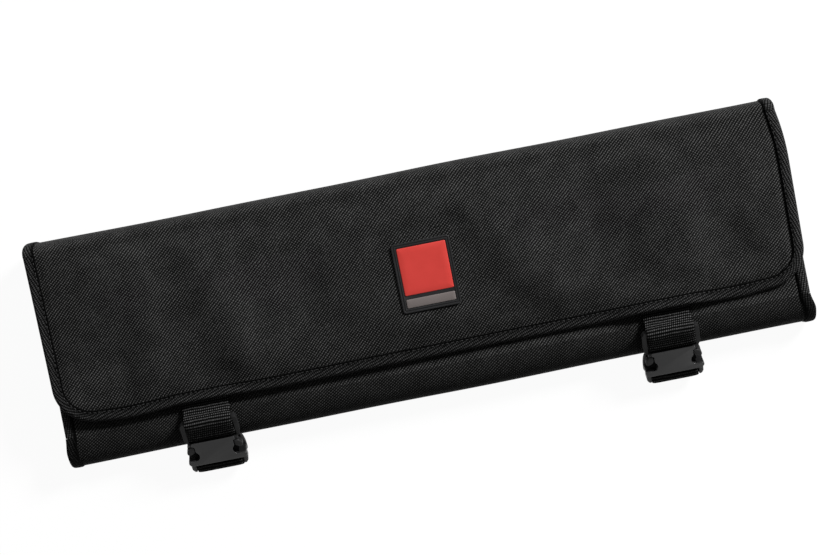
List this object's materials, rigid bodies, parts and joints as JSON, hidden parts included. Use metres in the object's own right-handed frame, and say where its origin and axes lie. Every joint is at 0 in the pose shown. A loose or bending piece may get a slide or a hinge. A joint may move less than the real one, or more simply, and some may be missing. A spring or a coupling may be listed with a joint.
{
  "type": "folding knife case",
  "caption": "Soft folding case for chef's knives: padded woven wrap with a bound flap, fold-out front leaf, blade pockets, handle loops and strap buckles.",
  "frame": {"origin": "middle of the back panel's outer face, which the closed case lies on", "axes": "+X along the case's length, +Y towards the top fold, +Z out through the flap"},
  "size_m": [0.48, 0.1622, 0.0409],
  "materials": {
    "nylon_shell": "black basket-woven nylon",
    "lining": "black plain-woven lining",
    "binding_tape": "black twill binding tape",
    "elastic": "black ribbed elastic",
    "board": "stiffening board",
    "webbing": "black ribbed webbing",
    "buckle_plastic": "satin black moulded plastic",
    "badge_rubber": "soft black moulded rubber",
    "badge_panel": "soft red moulded rubber",
    "badge_label": "soft grey moulded rubber"
  },
  "bodies": {
    "back": {"back_shell": "nylon_shell", "back_board": "board", "back_lining": "lining", "back_tape_left": "binding_tape", "back_tape_right": "binding_tape", "blade_pocket_lower": "lining", "blade_pocket_upper": "lining", "handle_loop_lower": "elastic", "handle_loop_upper": "elastic"},
    "spine": {"spine_shell": "nylon_shell", "spine_lining": "lining", "spine_tape_left": "binding_tape", "spine_tape_right": "binding_tape"},
    "flap": {"flap_shell": "nylon_shell", "flap_lining": "lining", "flap_tape": "binding_tape", "badge_base": "badge_rubber", "badge_panel": "badge_panel", "badge_label": "badge_label", "strap_patch_left": "webbing", "strap_patch_right": "webbing"},
    "front_wall": {"front_wall_shell": "nylon_shell", "front_wall_lining": "lining", "front_wall_tape_left": "binding_tape", "front_wall_tape_right": "binding_tape", "strap_tab_left": "webbing", "strap_tab_right": "webbing"},
    "leaf": {"leaf_shell": "nylon_shell", "leaf_board": "board", "leaf_lining": "lining", "leaf_tape": "binding_tape", "leaf_pocket": "lining"},
    "strap_left": {"strap_webbing_left": "webbing", "male_frame_left": "buckle_plastic"},
    "female_left": {"female_body_left": "buckle_plastic", "lower_webbing_left": "webbing"},
    "arm_left_a": {"latch_arm_left_a": "buckle_plastic"},
    "arm_left_b": {"latch_arm_left_b": "buckle_plastic"},
    "strap_right": {"strap_webbing_right": "webbing", "male_frame_right": "buckle_plastic"},
    "female_right": {"female_body_right": "buckle_plastic", "lower_webbing_right": "webbing"},
    "arm_right_a": {"latch_arm_right_a": "buckle_plastic"},
    "arm_right_b": {"latch_arm_right_b": "buckle_plastic"}
  },
  "joints": [
    {"name": "spine_fold", "type": "hinge", "parent": "back", "child": "spine", "pos_m": [0, 0.065, 0], "axis": [-1, 0, 0], "range_deg": [0, 90]},
    {"name": "flap_fold", "type": "hinge", "parent": "spine", "child": "flap", "pos_m": [0, 0.064, 0.04], "axis": [-1, 0, 0], "range_deg": [0, 96.2]},
    {"name": "front_wall_fold", "type": "hinge", "parent": "back", "child": "front_wall", "pos_m": [0, -0.065, 0], "axis": [1, 0, 0], "range_deg": [0, 118.7]},
    {"name": "leaf_fold", "type": "hinge", "parent": "front_wall", "child": "leaf", "pos_m": [0, -0.053, 0.022], "axis": [1, 0, 0], "range_deg": [0, 61.5]},
    {"name": "strap_swing_left", "type": "hinge", "parent": "flap", "child": "strap_left", "pos_m": [-0.148, -0.04472, 0.02431], "axis": [-1, 0, 0], "range_deg": [0, 75]},
    {"name": "buckle_pull_left", "type": "slide", "parent": "strap_left", "child": "female_left", "axis": [0, -0.8192, -0.5736], "range_m": [0, 0.016]},
    {"name": "latch_press_left_a", "type": "hinge", "parent": "strap_left", "child": "arm_left_a", "pos_m": [-0.1593, -0.07223, 0.01785], "axis": [0, -0.5736, 0.8192], "range_deg": [0, 35], "stiffness_Nm_per_rad": 0.004},
    {"name": "latch_press_left_b", "type": "hinge", "parent": "strap_left", "child": "arm_left_b", "pos_m": [-0.1367, -0.07223, 0.01785], "axis": [0, 0.5736, -0.8192], "range_deg": [0, 35], "stiffness_Nm_per_rad": 0.004},
    {"name": "strap_swing_right", "type": "hinge", "parent": "flap", "child": "strap_right", "pos_m": [0.148, -0.04472, 0.02431], "axis": [-1, 0, 0], "range_deg": [0, 75]},
    {"name": "buckle_pull_right", "type": "slide", "parent": "strap_right", "child": "female_right", "axis": [0, -0.8192, -0.5736], "range_m": [0, 0.016]},
    {"name": "latch_press_right_a", "type": "hinge", "parent": "strap_right", "child": "arm_right_a", "pos_m": [0.1367, -0.07223, 0.01785], "axis": [0, -0.5736, 0.8192], "range_deg": [0, 35], "stiffness_Nm_per_rad": 0.004},
    {"name": "latch_press_right_b", "type": "hinge", "parent": "strap_right", "child": "arm_right_b", "pos_m": [0.1593, -0.07223, 0.01785], "axis": [0, 0.5736, -0.8192], "range_deg": [0, 35], "stiffness_Nm_per_rad": 0.004}
  ],
  "couplings": [
    {"joint": "flap_fold", "follows": "spine_fold", "ratio": 1.0675},
    {"joint": "front_wall_fold", "follows": "spine_fold", "ratio": 1.3179},
    {"joint": "leaf_fold", "follows": "spine_fold", "ratio": 0.6821},
    {"joint": "latch_press_left_a", "follows": "buckle_pull_left", "rad_per_m": 38},
    {"joint": "latch_press_left_b", "follows": "buckle_pull_left", "rad_per_m": 38},
    {"joint": "latch_press_right_a", "follows": "buckle_pull_right", "rad_per_m": 38},
    {"joint": "latch_press_right_b", "follows": "buckle_pull_right", "rad_per_m": 38}
  ]
}
